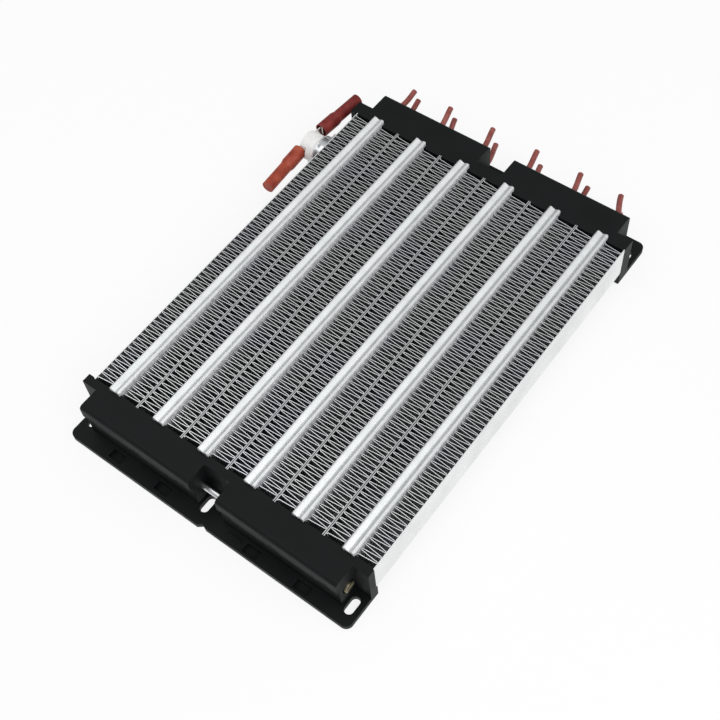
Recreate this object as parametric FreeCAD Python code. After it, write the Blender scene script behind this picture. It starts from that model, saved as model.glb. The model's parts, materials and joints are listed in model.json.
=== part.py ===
"""Flat electric air heater core: six heating tubes with folded fins between two moulded end frames.

Sizes are in millimetres. X runs across the tubes, Y along them from the front frame to the rear
frame, and Z up. The origin is on the mounting plane, midway between the two middle mounting slots.
"""
import FreeCAD, Part
import math
import os

Vector = FreeCAD.Vector

# Sides of the round pieces that are hidden or repeat many times
BAR_SIDES = 8

# How far a cutter reaches past what it cuts, and what counts as no distance
OVERCUT = 1.0
TINY = 1e-6

# Heating stack inside each tube, from the middle outwards
CHIP_THICKNESS = 2.5
CHIP_LENGTH = 34.0
CHIP_HEIGHT = 18.0
CHIP_GAP = 0.6
CHIP_END_MARGIN = 7.0
ELECTRODE_THICKNESS = 0.6
ELECTRODE_HEIGHT = 18.0
ELECTRODE_END_MARGIN = 3.0
ELECTRODE_TAB_HEIGHT = 5.0
ELECTRODE_TAB_REACH = 8.0
FILM_THICKNESS = 0.25
FILM_END_MARGIN = 1.0
STACK_CLEARANCE = 0.05

# Heating tube
TUBE_COUNT = 6
TUBE_WALL = 1.2
TUBE_END_WALL = 1.0
TUBE_HEIGHT = 26.2
TUBE_RISE = 2.6
TUBE_CORNER = 0.6
GROOVE_DEPTH = 1.1
GROOVE_HALF_WIDTH = 2.1

# Folded fin strips and the thin plates that back them
FIN_HEIGHT = 10.75
FIN_DEPTH = 21.0
FIN_LENGTH = 222.0
FIN_SHEET = 0.3
FOLD_COUNT = 34
PLATE_THICKNESS = 0.5
BOND = 0.05
MODULE_GAP = 0.4

# End frames, shared by both
FRAME_HEIGHT = 30.0
FRAME_LEFT_OVERHANG = 4.2
FRAME_RIGHT_OVERHANG = 0.2
FIN_END_CLEARANCE = 0.3
SOCKET_CLEARANCE = 0.1
PLATE_SEAT_DEPTH = 0.8
BLOCK_END_LEDGE = 9.5
BLOCK_CENTRE_GAP = 17.0
BLOCK_EDGE_RADIUS = 2.5
FLANGE_THICKNESS = 3.5
FLANGE_CORNER_RADIUS = 4.0
FLANGE_NOTCH_WIDTH = 5.0
FLANGE_NOTCH_DEPTH = 2.0
FLANGE_STEP = 0.9
FLANGE_RIM = 1.6
RECESS_WIDTH = 8.6
RECESS_DEPTH = 2.3
RECESS_SPACING = 32.0
CORE_OUT_WALL = 2.2
CORE_OUT_DEPTH = 9.0

# What differs between the two end frames
FRONT_WALL = 5.2
FRONT_BLOCK_REACH = 12.5
FRONT_FLANGE_REACH = 19.8
FRONT_SOCKET_DEPTH = 1.0
FRONT_LIP_DROP = 9.0
FRONT_LIP_OVERHANG = 1.6
REAR_WALL = 8.7
REAR_BLOCK_REACH = 13.8
REAR_FLANGE_REACH = 21.8
REAR_SOCKET_DEPTH = 2.5
REAR_LEAD_IN = 1.5

# Small windows in the front lip's lower edge, one for each tube, and the oval pad on the front flange
WINDOW_WIDTH = 7.0
WINDOW_HEIGHT = 2.6
WINDOW_DEPTH = 2.2
WINDOW_OFFSET = 2.5
PAD_FROM_CENTRE = 13.5
PAD_LENGTH = 9.0
PAD_WIDTH = 3.0
PAD_HEIGHT = 0.5

# Mounting holes in each flange: a round one at the left end, then two slots that are long along Y
SLOT_WIDTH = 5.0
SLOT_LENGTH = 10.0
SLOT_FROM_WALL = 8.0
SLOT_END_INSET = 5.5
CORE_CENTRE_X = 7.0

# Tie rod along X through the front blocks, with a slotted screw in each end
ROD_DIAMETER = 4.0
ROD_CLEARANCE = 0.1
ROD_TO_EDGE = 15.3
ROD_HEIGHT = 15.0
ROD_END_INSET = 2.0
SCREW_HEAD_DIAMETER = 6.6
SCREW_HEAD_HEIGHT = 2.0
SCREW_SHANK_DIAMETER = 2.4
SCREW_SHANK_LENGTH = 8.0
SCREW_SLOT_WIDTH = 1.0
SCREW_SLOT_DEPTH = 0.9
SCREW_RECESS_DEPTH = 1.0
SCREW_RECESS_CLEARANCE = 0.8

# Leads, one high and one low at the rear of each tube
LEAD_CORE_DIAMETER = 1.8
LEAD_SLEEVE_DIAMETER = 3.2
LEAD_CLEARANCE = 0.1
HIGH_LEAD_RISE = 3.0
LOW_LEAD_DROP = 7.5
HIGH_LEAD_REACH = 17.2
LOW_LEAD_REACH = 18.6
LEAD_SLEEVE_START = 1.0
LEAD_POCKET_MARGIN = 0.3
LEAD_WALL = 4.0

# Thermal cut-out on the left side plate: cap, bracket, ceramic body, blades and their connectors
CUTOUT_FROM_REAR = 27.5
CAP_DIAMETER = 16.0
CAP_HEIGHT = 4.6
BRACKET_SHEET = 0.8
BRACKET_DISC_DIAMETER = 19.8
BRACKET_ARM_WIDTH = 7.0
BRACKET_LEG_REACH = 13.0
BRACKET_FOOT = 8.0
RIVET_SHANK_DIAMETER = 2.4
RIVET_HEAD_DIAMETER = 4.2
RIVET_HEAD_HEIGHT = 0.9
BODY_DIAMETER = 17.2
BODY_LENGTH = 10.6
BODY_FLAT_SPAN = 13.2
BODY_FLAT_LENGTH = 4.6
BLADE_WIDTH = 6.3
BLADE_SHEET = 0.8
BLADE_START = 2.0
BLADE_REACH = 16.4
RECEPTACLE_SHEET = 0.4
RECEPTACLE_LENGTH = 9.0
RECEPTACLE_GAP = 0.05
RECEPTACLE_INSET = 0.5
SLEEVE_MOUTH_RADIUS = 4.25
SLEEVE_BARREL_RADIUS = 3.65
SLEEVE_MOUTH_LENGTH = 12.0
SLEEVE_BARREL_AT = 14.5
SLEEVE_LENGTH = 32.5
SLEEVE_POCKET_DEPTH = 11.0
FRONT_SLEEVE_GAP = 0.3
REAR_SLEEVE_GAP = 6.2
FRONT_BLADE_TURN = 3.5
REAR_BLADE_TURN = 4.7

# Sizes that follow from the ones above
ELECTRODE_X = CHIP_THICKNESS / 2 + STACK_CLEARANCE + ELECTRODE_THICKNESS / 2
FILM_INNER_X = ELECTRODE_X + ELECTRODE_THICKNESS / 2 + STACK_CLEARANCE
FILM_OUTER_X = FILM_INNER_X + FILM_THICKNESS
BORE_HALF_X = FILM_OUTER_X + STACK_CLEARANCE
TUBE_HALF_X = BORE_HALF_X + TUBE_WALL
PLATE_INNER_X = TUBE_HALF_X + FIN_HEIGHT + 2 * BOND
MODULE_HALF_X = PLATE_INNER_X + PLATE_THICKNESS
PITCH = 2 * MODULE_HALF_X + MODULE_GAP
CORE_HALF_X = TUBE_COUNT * PITCH / 2 - MODULE_GAP / 2
CORE_LEFT = CORE_CENTRE_X - CORE_HALF_X
CORE_RIGHT = CORE_CENTRE_X + CORE_HALF_X
TUBE_TOP = FRAME_HEIGHT + TUBE_RISE
TUBE_BOTTOM = TUBE_TOP - TUBE_HEIGHT
CORE_MID_Z = (TUBE_TOP + TUBE_BOTTOM) / 2
BORE_HALF_Z = TUBE_HEIGHT / 2 - GROOVE_DEPTH - TUBE_END_WALL
FILM_OUTER_Z = BORE_HALF_Z - STACK_CLEARANCE
LEAD_HIGH = CORE_MID_Z + HIGH_LEAD_RISE
LEAD_LOW = CORE_MID_Z - LOW_LEAD_DROP
FIN_BOTTOM = CORE_MID_Z - FIN_DEPTH / 2
FIN_TOP = CORE_MID_Z + FIN_DEPTH / 2
FRONT_SLOT_TO_FINS = SLOT_FROM_WALL + FRONT_WALL + FIN_END_CLEARANCE
REAR_SLOT_TO_FINS = SLOT_FROM_WALL + REAR_WALL + FIN_END_CLEARANCE
SLOT_SPAN = FRONT_SLOT_TO_FINS + FIN_LENGTH + REAR_SLOT_TO_FINS
FIN_FRONT = FRONT_SLOT_TO_FINS - SLOT_SPAN / 2
FIN_REAR = FIN_FRONT + FIN_LENGTH
TUBE_FRONT = FIN_FRONT - FIN_END_CLEARANCE - FRONT_SOCKET_DEPTH + SOCKET_CLEARANCE
TUBE_REAR = FIN_REAR + FIN_END_CLEARANCE + REAR_SOCKET_DEPTH - SOCKET_CLEARANCE
FRAME_LEFT = CORE_LEFT - FRAME_LEFT_OVERHANG
FRAME_RIGHT = CORE_RIGHT + FRAME_RIGHT_OVERHANG
FRAME_MID_X = (FRAME_LEFT + FRAME_RIGHT) / 2
CUTOUT_Y = FIN_REAR - CUTOUT_FROM_REAR
CAP_FACE_X = CORE_LEFT - BOND
BRACKET_INNER_X = CAP_FACE_X - CAP_HEIGHT
BODY_INNER_X = BRACKET_INNER_X - BRACKET_SHEET
BODY_OUTER_X = BODY_INNER_X - BODY_LENGTH
BLADE_MID_X = BODY_OUTER_X - BLADE_SHEET / 2


class FramePlan:
    """The places of one end frame, measured outwards from its face towards the core."""

    def __init__(self, inner_y, outward, wall, block_reach, flange_reach, socket_depth):
        self.inner_y = inner_y
        self.outward = outward
        self.wall = wall
        self.block_face = wall + block_reach
        self.flange_edge = wall + flange_reach
        self.socket_depth = socket_depth

    def y(self, out):
        return self.inner_y + self.outward * out


FRONT = FramePlan(FIN_FRONT - FIN_END_CLEARANCE, -1, FRONT_WALL, FRONT_BLOCK_REACH, FRONT_FLANGE_REACH,
                  FRONT_SOCKET_DEPTH)
REAR = FramePlan(FIN_REAR + FIN_END_CLEARANCE, 1, REAR_WALL, REAR_BLOCK_REACH, REAR_FLANGE_REACH,
                 REAR_SOCKET_DEPTH)
LIP_Z = FRAME_HEIGHT - FRONT_LIP_DROP
ROD_Y = FRONT.y(FRONT.flange_edge - ROD_TO_EDGE)


def tube_centres():
    return [CORE_CENTRE_X + (index - (TUBE_COUNT - 1) / 2) * PITCH for index in range(TUBE_COUNT)]


def module_borders():
    return [CORE_CENTRE_X + (index - TUBE_COUNT / 2) * PITCH for index in range(TUBE_COUNT + 1)]


def box(x0, x1, y0, y1, z0, z1):
    low = Vector(min(x0, x1), min(y0, y1), min(z0, z1))
    return Part.makeBox(abs(x1 - x0), abs(y1 - y0), abs(z1 - z0), low)


def cylinder_x(radius, x0, x1, y, z):
    return Part.makeCylinder(radius, abs(x1 - x0), Vector(min(x0, x1), y, z), Vector(1, 0, 0))


def faceted_bar(radius, start, along):
    """A level bar with BAR_SIDES flat sides, for round pieces that are hidden or repeat many times."""
    up = Vector(0, 0, radius)
    side = Vector(along).cross(up).normalize() * radius
    points = []
    for index in range(BAR_SIDES):
        angle = 2 * math.pi * (index + 0.5) / BAR_SIDES
        points.append(start + side * math.cos(angle) + up * math.sin(angle))
    return Part.Face(Part.makePolygon(points + points[:1])).extrude(along)


def faceted_bar_x(radius, x0, x1, y, z):
    return faceted_bar(radius, Vector(x0, y, z), Vector(x1 - x0, 0, 0))


def faceted_bar_y(radius, x, y0, y1, z):
    return faceted_bar(radius, Vector(x, y0, z), Vector(0, y1 - y0, 0))


def rounded_edges(corners, place):
    """Edges of a closed outline. A corner is (u, v) or (u, v, radius); place turns (u, v) into 3-D."""
    points = [(Vector(corner[0], corner[1], 0), corner[2] if len(corner) > 2 else 0) for corner in corners]
    starts = []
    ends = []
    mids = []
    for index, (point, radius) in enumerate(points):
        before = (points[index - 1][0] - point).normalize()
        after = (points[(index + 1) % len(points)][0] - point).normalize()
        half_angle = before.getAngle(after) / 2
        setback = radius / math.tan(half_angle)
        starts.append(point + before * setback)
        ends.append(point + after * setback)
        bisector = (before + after).normalize() if radius else Vector(0, 0, 0)
        mids.append(point + bisector * (radius / math.sin(half_angle) - radius))
    edges = []
    for index, (point, radius) in enumerate(points):
        if radius:
            arc = Part.Arc(place(starts[index]), place(mids[index]), place(ends[index]))
            edges.append(arc.toShape())
        following = (index + 1) % len(points)
        if (starts[following] - ends[index]).Length > TINY:
            edges.append(Part.LineSegment(place(ends[index]), place(starts[following])).toShape())
    return edges


def prism(corners, place, along):
    wire = Part.Wire(Part.__sortEdges__(rounded_edges(corners, place)))
    return Part.Face(wire).extrude(along)


def upright_prism(corners, z0, z1):
    """A prism with its outline in X and Y."""
    return prism(corners, lambda p: Vector(p.x, p.y, z0), Vector(0, 0, z1 - z0))


def tube_profile(centre):
    """Outline of one tube: chamfered corners and a V groove in the top and bottom edges."""
    half_z = TUBE_HEIGHT / 2
    top = [(-TUBE_HALF_X, half_z - TUBE_CORNER), (-TUBE_HALF_X + TUBE_CORNER, half_z),
           (-GROOVE_HALF_WIDTH, half_z), (0, half_z - GROOVE_DEPTH), (GROOVE_HALF_WIDTH, half_z),
           (TUBE_HALF_X - TUBE_CORNER, half_z), (TUBE_HALF_X, half_z - TUBE_CORNER)]
    bottom = [(x, -z) for x, z in reversed(top)]
    return [(centre + x, CORE_MID_Z + z) for x, z in top + bottom]


def heater_tube(centre):
    along = Vector(0, TUBE_REAR - TUBE_FRONT, 0)
    outer = prism(tube_profile(centre), lambda p: Vector(p.x, TUBE_FRONT, p.y), along)
    bore = box(centre - BORE_HALF_X, centre + BORE_HALF_X, TUBE_FRONT - OVERCUT, TUBE_REAR + OVERCUT,
               CORE_MID_Z - BORE_HALF_Z, CORE_MID_Z + BORE_HALF_Z)
    return outer.cut(bore)


def insulating_film(centre):
    front = TUBE_FRONT + FILM_END_MARGIN
    rear = TUBE_REAR - FILM_END_MARGIN
    outer = box(centre - FILM_OUTER_X, centre + FILM_OUTER_X, front, rear,
                CORE_MID_Z - FILM_OUTER_Z, CORE_MID_Z + FILM_OUTER_Z)
    inner = box(centre - FILM_INNER_X, centre + FILM_INNER_X, front - OVERCUT, rear + OVERCUT,
                CORE_MID_Z - FILM_OUTER_Z + FILM_THICKNESS, CORE_MID_Z + FILM_OUTER_Z - FILM_THICKNESS)
    return outer.cut(inner)


def ptc_chips(centre):
    """A row of flat ceramic chips, as many as fit, centred along the tube."""
    step = CHIP_LENGTH + CHIP_GAP
    room = TUBE_REAR - TUBE_FRONT - 2 * CHIP_END_MARGIN
    count = math.floor((room + CHIP_GAP) / step)
    first = (TUBE_FRONT + TUBE_REAR) / 2 - (count * step - CHIP_GAP) / 2
    half_x = CHIP_THICKNESS / 2
    half_z = CHIP_HEIGHT / 2
    chips = []
    for index in range(count):
        start = first + index * step
        chips.append(box(centre - half_x, centre + half_x, start, start + CHIP_LENGTH,
                         CORE_MID_Z - half_z, CORE_MID_Z + half_z))
    return Part.makeCompound(chips)


def electrode(centre, side, tab_z):
    """One contact strip, with a narrow tab that reaches out of the tube's rear end."""
    x0 = centre + side * ELECTRODE_X - ELECTRODE_THICKNESS / 2
    x1 = x0 + ELECTRODE_THICKNESS
    strip = box(x0, x1, TUBE_FRONT + ELECTRODE_END_MARGIN, TUBE_REAR - ELECTRODE_END_MARGIN,
                CORE_MID_Z - ELECTRODE_HEIGHT / 2, CORE_MID_Z + ELECTRODE_HEIGHT / 2)
    tab = box(x0, x1, TUBE_REAR - ELECTRODE_END_MARGIN, TUBE_REAR + ELECTRODE_TAB_REACH,
              tab_z - ELECTRODE_TAB_HEIGHT / 2, tab_z + ELECTRODE_TAB_HEIGHT / 2)
    return strip.fuse(tab).removeSplitter()


def electrode_pair(centre):
    return Part.makeCompound([electrode(centre, -1, LEAD_HIGH), electrode(centre, 1, LEAD_LOW)])


def fin_strip(x0, x1):
    """A sheet folded to and fro between two faces, all the way along the core."""
    run = FIN_LENGTH / (2 * FOLD_COUNT)
    slant = math.hypot(run, FIN_HEIGHT) / run
    thickness_across = FIN_SHEET * slant
    ahead = []
    behind = []
    for index in range(2 * FOLD_COUNT + 1):
        y = FIN_FRONT + index * run
        if index % 2 == 0:
            ahead.append(Vector(x0 + thickness_across, y, FIN_BOTTOM))
            behind.append(Vector(x0, y, FIN_BOTTOM))
        else:
            ahead.append(Vector(x1, y, FIN_BOTTOM))
            behind.append(Vector(x1 - thickness_across, y, FIN_BOTTOM))
    outline = ahead + behind[::-1] + ahead[:1]
    return Part.Face(Part.makePolygon(outline)).extrude(Vector(0, 0, FIN_DEPTH))


def backing_plate(x0, x1):
    front = FRONT.y(PLATE_SEAT_DEPTH - SOCKET_CLEARANCE)
    rear = REAR.y(PLATE_SEAT_DEPTH - SOCKET_CLEARANCE)
    return box(x0, x1, front, rear, FIN_BOTTOM, FIN_TOP)


def block_spans():
    """Left and right ends of the two raised blocks."""
    half_gap = BLOCK_CENTRE_GAP / 2
    left = (FRAME_LEFT + BLOCK_END_LEDGE, FRAME_MID_X - half_gap)
    right = (FRAME_MID_X + half_gap, FRAME_RIGHT - BLOCK_END_LEDGE)
    return [left, right]


def block(plan, x0, x1, lip_drop, lip_overhang):
    """A raised block with a rounded top edge and, where it has one, a lip below it."""
    lower_face = plan.block_face - lip_overhang
    corners = [(0, 0), (lower_face, 0)]
    if lip_overhang:
        corners += [(lower_face, FRAME_HEIGHT - lip_drop), (plan.block_face, FRAME_HEIGHT - lip_drop)]
    corners += [(plan.block_face, FRAME_HEIGHT, BLOCK_EDGE_RADIUS), (0, FRAME_HEIGHT)]
    return prism(corners, lambda p: Vector(x0, plan.y(p.x), p.y), Vector(x1 - x0, 0, 0))


def flange(plan):
    """The foot of a frame, with rounded corners, a notch in its middle and a shorter right half."""
    edge = plan.flange_edge
    right_edge = edge - FLANGE_STEP
    half_notch = FLANGE_NOTCH_WIDTH / 2
    corners = [(FRAME_LEFT, 0), (FRAME_LEFT, edge, FLANGE_CORNER_RADIUS), (FRAME_MID_X - half_notch, edge),
               (FRAME_MID_X, edge - FLANGE_NOTCH_DEPTH), (FRAME_MID_X + half_notch, right_edge),
               (FRAME_RIGHT, right_edge, FLANGE_CORNER_RADIUS), (FRAME_RIGHT, 0)]
    placed = [(corner[0], plan.y(corner[1])) + corner[2:] for corner in corners]
    return upright_prism(placed, 0, FLANGE_THICKNESS)


def tube_sockets(plan):
    """Open-topped seats for the tube ends."""
    half = TUBE_HALF_X + SOCKET_CLEARANCE
    return [box(centre - half, centre + half, plan.y(-OVERCUT), plan.y(plan.socket_depth),
                TUBE_BOTTOM - SOCKET_CLEARANCE, FRAME_HEIGHT + OVERCUT) for centre in tube_centres()]


def socket_lead_ins(plan):
    """A slope in the frame's top edge behind each tube."""
    half = TUBE_HALF_X + SOCKET_CLEARANCE
    depth = plan.socket_depth
    low = FRAME_HEIGHT - REAR_LEAD_IN
    corners = [(depth - OVERCUT, low), (depth, low), (depth + REAR_LEAD_IN, FRAME_HEIGHT),
               (depth + REAR_LEAD_IN, FRAME_HEIGHT + OVERCUT), (depth - OVERCUT, FRAME_HEIGHT + OVERCUT)]
    slopes = []
    for centre in tube_centres():
        start = centre - half
        slopes.append(prism(corners, lambda p: Vector(start, plan.y(p.x), p.y), Vector(2 * half, 0, 0)))
    return slopes


def plate_seats(plan):
    """Narrow open-topped seats for the ends of the backing plates; the last one is open to the right."""
    half = MODULE_GAP / 2 + PLATE_THICKNESS + SOCKET_CLEARANCE
    seats = []
    for border in module_borders():
        right = FRAME_RIGHT + OVERCUT if border + half > FRAME_RIGHT else border + half
        seats.append(box(border - half, right, plan.y(-OVERCUT), plan.y(PLATE_SEAT_DEPTH),
                         FIN_BOTTOM - SOCKET_CLEARANCE, FRAME_HEIGHT + OVERCUT))
    return seats


def mounting_holes(plan):
    """Cutters for the round hole at the left end, the middle slot and the right slot."""
    y = plan.y(plan.wall + SLOT_FROM_WALL)
    places = [(FRAME_LEFT + SLOT_END_INSET, SLOT_WIDTH), (0.0, SLOT_LENGTH),
              (FRAME_RIGHT - SLOT_END_INSET, SLOT_LENGTH)]
    top = FLANGE_THICKNESS + OVERCUT
    return [upright_oval(x, y, SLOT_WIDTH, length, -OVERCUT, top) for x, length in places]


def upright_oval(x, y, width, length, z0, z1):
    """A round-ended upright prism, long along X or along Y, or a round one."""
    radius = min(width, length) / 2
    corners = [(x + side_x * width / 2, y + side_y * length / 2, radius)
               for side_x, side_y in ((-1, -1), (1, -1), (1, 1), (-1, 1))]
    return upright_prism(corners, z0, z1)


def flange_recesses(plan):
    """Shallow recesses in the flange's top, two along each block, short of the front rim."""
    cuts = []
    for x0, x1 in block_spans():
        for side in (-1, 1):
            x = (x0 + x1) / 2 + side * RECESS_SPACING / 2
            cuts.append(box(x - RECESS_WIDTH / 2, x + RECESS_WIDTH / 2, plan.y(plan.block_face),
                            plan.y(plan.flange_edge - FLANGE_STEP - FLANGE_RIM),
                            FLANGE_THICKNESS - RECESS_DEPTH, FLANGE_THICKNESS + OVERCUT))
    return cuts


def core_outs(plan, lower_face):
    """Pockets moulded into the underside of each block, one below each tube."""
    near = plan.y(plan.wall)
    far = plan.y(lower_face - CORE_OUT_WALL)
    cuts = []
    for x0, x1 in block_spans():
        bay = (x1 - x0 - CORE_OUT_WALL) / (TUBE_COUNT / 2)
        for index in range(TUBE_COUNT // 2):
            start = x0 + CORE_OUT_WALL + index * bay
            cuts.append(box(start, start + bay - CORE_OUT_WALL, near, far, -OVERCUT, CORE_OUT_DEPTH))
    return cuts


def moulded_frame(plan, lip_drop, lip_overhang):
    """Wall, flange and blocks of one frame, less what both frames have cut out of them."""
    wall = box(FRAME_LEFT, FRAME_RIGHT, plan.y(0), plan.y(plan.wall), 0, FRAME_HEIGHT)
    pieces = [flange(plan)] + [block(plan, x0, x1, lip_drop, lip_overhang) for x0, x1 in block_spans()]
    cuts = tube_sockets(plan) + plate_seats(plan) + mounting_holes(plan) + flange_recesses(plan)
    cuts += core_outs(plan, plan.block_face - lip_overhang)
    return wall.fuse(pieces).cut(cuts)


def front_windows():
    """Small windows that break the front lip's lower edge, one in line with each tube."""
    back = FRONT.y(FRONT.block_face - FRONT_LIP_OVERHANG - WINDOW_DEPTH)
    front = FRONT.y(FRONT.block_face + OVERCUT)
    windows = []
    for centre in tube_centres():
        x = centre - WINDOW_OFFSET
        windows.append(box(x - WINDOW_WIDTH / 2, x + WINDOW_WIDTH / 2, back, front,
                           LIP_Z - WINDOW_HEIGHT / 2, LIP_Z + WINDOW_HEIGHT / 2))
    return windows


def rod_bores():
    """The bore for the tie rod and a recess for the screw head at each end."""
    bore_radius = (ROD_DIAMETER / 2 + ROD_CLEARANCE) / math.cos(math.pi / BAR_SIDES)
    radius = SCREW_HEAD_DIAMETER / 2 + SCREW_RECESS_CLEARANCE
    left_end = block_spans()[0][0]
    right_end = block_spans()[1][1]
    return [faceted_bar_x(bore_radius, left_end, right_end, ROD_Y, ROD_HEIGHT),
            cylinder_x(radius, FRAME_LEFT, left_end + SCREW_RECESS_DEPTH, ROD_Y, ROD_HEIGHT),
            cylinder_x(radius, right_end - SCREW_RECESS_DEPTH, FRAME_RIGHT, ROD_Y, ROD_HEIGHT)]


def front_frame():
    pad_y = (FRONT.y(FRONT.block_face) + FRONT.y(FRONT.flange_edge - FLANGE_STEP - FLANGE_RIM)) / 2
    pad_x = FRAME_MID_X + PAD_FROM_CENTRE + PAD_LENGTH / 2
    pad_top = FLANGE_THICKNESS + PAD_HEIGHT
    pad = upright_oval(pad_x, pad_y, PAD_LENGTH, PAD_WIDTH, FLANGE_THICKNESS / 2, pad_top)
    solid = moulded_frame(FRONT, FRONT_LIP_DROP, FRONT_LIP_OVERHANG)
    return solid.fuse(pad).cut(front_windows() + rod_bores()).removeSplitter()


def lead_pockets():
    """Behind each rear socket: a pocket for the electrode tabs and two holes for the leads."""
    pocket_end = REAR.block_face - LEAD_WALL
    hole_radius = LEAD_SLEEVE_DIAMETER / 2 + LEAD_CLEARANCE
    half_width = ELECTRODE_X + LEAD_SLEEVE_DIAMETER / 2 + LEAD_POCKET_MARGIN
    half_tab = ELECTRODE_TAB_HEIGHT / 2 + LEAD_POCKET_MARGIN
    hole_start = REAR.y(pocket_end - OVERCUT)
    hole_end = REAR.y(REAR.block_face + OVERCUT)
    cuts = []
    for centre in tube_centres():
        cuts.append(box(centre - half_width, centre + half_width, REAR.y(REAR.socket_depth - OVERCUT),
                        REAR.y(pocket_end), LEAD_LOW - half_tab, LEAD_HIGH + half_tab))
        for x, z in (high_lead_line(centre), low_lead_line(centre)):
            cuts.append(faceted_bar_y(hole_radius, x, hole_start, hole_end, z))
    return cuts


def rear_frame():
    solid = moulded_frame(REAR, 0, 0)
    return solid.cut(lead_pockets() + socket_lead_ins(REAR)).removeSplitter()


def rod_ends():
    return [block_spans()[0][0] + ROD_END_INSET, block_spans()[1][1] - ROD_END_INSET]


def tie_rod():
    """A plain rod through both blocks, drilled at each end for its screw."""
    left, right = rod_ends()
    drill_radius = SCREW_SHANK_DIAMETER / 2 + STACK_CLEARANCE
    drill_depth = SCREW_SHANK_LENGTH + STACK_CLEARANCE
    rod = cylinder_x(ROD_DIAMETER / 2, left, right, ROD_Y, ROD_HEIGHT)
    return rod.cut([faceted_bar_x(drill_radius, left, left + drill_depth, ROD_Y, ROD_HEIGHT),
                    faceted_bar_x(drill_radius, right, right - drill_depth, ROD_Y, ROD_HEIGHT)])


def slotted_screw(seat_x, rod_end, side):
    """A cheese-head screw seated in the frame's recess, with its shank in the rod's end."""
    top = seat_x + side * SCREW_HEAD_HEIGHT
    head = cylinder_x(SCREW_HEAD_DIAMETER / 2, seat_x, top, ROD_Y, ROD_HEIGHT)
    shank_end = rod_end - side * SCREW_SHANK_LENGTH
    shank = faceted_bar_x(SCREW_SHANK_DIAMETER / 2, seat_x, shank_end, ROD_Y, ROD_HEIGHT)
    slot = box(top - side * SCREW_SLOT_DEPTH, top, ROD_Y - SCREW_HEAD_DIAMETER, ROD_Y + SCREW_HEAD_DIAMETER,
               ROD_HEIGHT - SCREW_SLOT_WIDTH / 2, ROD_HEIGHT + SCREW_SLOT_WIDTH / 2)
    return head.fuse(shank).cut(slot)


def tie_rod_screws():
    left_end, right_end = rod_ends()
    left_seat = block_spans()[0][0] + SCREW_RECESS_DEPTH
    right_seat = block_spans()[1][1] - SCREW_RECESS_DEPTH
    left_screw = slotted_screw(left_seat, left_end, -1)
    right_screw = slotted_screw(right_seat, right_end, 1)
    return Part.makeCompound([left_screw, right_screw])


def high_lead_line(centre):
    """X and Z of the upper lead of one tube, in line with the tab of its left electrode."""
    return centre - ELECTRODE_X, LEAD_HIGH


def low_lead_line(centre):
    return centre + ELECTRODE_X, LEAD_LOW


def lead_conductor(line, reach):
    x, z = line
    start = TUBE_REAR + ELECTRODE_TAB_REACH
    return faceted_bar_y(LEAD_CORE_DIAMETER / 2, x, start, REAR.y(REAR.block_face) + reach, z)


def lead_sleeve(line, reach):
    x, z = line
    start = TUBE_REAR + ELECTRODE_TAB_REACH + LEAD_SLEEVE_START
    end = REAR.y(REAR.block_face) + reach
    inner = faceted_bar_y(LEAD_CORE_DIAMETER / 2 + STACK_CLEARANCE, x, start, end, z)
    return faceted_bar_y(LEAD_SLEEVE_DIAMETER / 2, x, start, end, z).cut(inner)


def lead_conductors():
    high = [lead_conductor(high_lead_line(centre), HIGH_LEAD_REACH) for centre in tube_centres()]
    low = [lead_conductor(low_lead_line(centre), LOW_LEAD_REACH) for centre in tube_centres()]
    return Part.makeCompound(high + low)


def upper_lead_sleeves():
    lines = [high_lead_line(centre) for centre in tube_centres()]
    return Part.makeCompound([lead_sleeve(line, HIGH_LEAD_REACH) for line in lines])


def lower_lead_sleeves():
    lines = [low_lead_line(centre) for centre in tube_centres()]
    return Part.makeCompound([lead_sleeve(line, LOW_LEAD_REACH) for line in lines])


def cutout_disc(radius, x0, x1):
    """A disc on the thermal cut-out's axis."""
    return cylinder_x(radius, x0, x1, CUTOUT_Y, CORE_MID_Z)


def cutout_cap():
    """The metal cap that bears on the side plate."""
    return cutout_disc(CAP_DIAMETER / 2, CAP_FACE_X, BRACKET_INNER_X)


def rivet_lines():
    reach = BRACKET_LEG_REACH + BRACKET_FOOT / 2
    return [CUTOUT_Y - reach, CUTOUT_Y + reach]


def cutout_bracket():
    """A formed strip: a disc between cap and body, two legs and two feet flat on the side plate."""
    half = BRACKET_ARM_WIDTH / 2
    z0 = CORE_MID_Z - half
    z1 = CORE_MID_Z + half
    foot_x = CAP_FACE_X - BRACKET_SHEET
    front = CUTOUT_Y - BRACKET_LEG_REACH
    rear = CUTOUT_Y + BRACKET_LEG_REACH
    pieces = [box(BODY_INNER_X, BRACKET_INNER_X, front, rear, z0, z1)]
    for side in (-1, 1):
        leg_y = CUTOUT_Y + side * BRACKET_LEG_REACH
        leg_inner_y = leg_y - side * BRACKET_SHEET
        pieces.append(box(BODY_INNER_X, CAP_FACE_X, leg_inner_y, leg_y, z0, z1))
        pieces.append(box(foot_x, CAP_FACE_X, leg_inner_y, leg_y + side * BRACKET_FOOT, z0, z1))
    disc = cutout_disc(BRACKET_DISC_DIAMETER / 2, BODY_INNER_X, BRACKET_INNER_X)
    holes = [faceted_bar_x(RIVET_SHANK_DIAMETER / 2 + STACK_CLEARANCE, foot_x, CAP_FACE_X, y, CORE_MID_Z)
             for y in rivet_lines()]
    return disc.fuse(pieces).cut(holes).removeSplitter()


def bracket_rivets():
    seat_x = CAP_FACE_X - BRACKET_SHEET
    rivets = []
    for y in rivet_lines():
        shank = faceted_bar_x(RIVET_SHANK_DIAMETER / 2, seat_x, CAP_FACE_X, y, CORE_MID_Z)
        head = cylinder_x(RIVET_HEAD_DIAMETER / 2, seat_x - RIVET_HEAD_HEIGHT, seat_x, y, CORE_MID_Z)
        rivets.append(shank.fuse(head))
    return Part.makeCompound(rivets)


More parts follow.
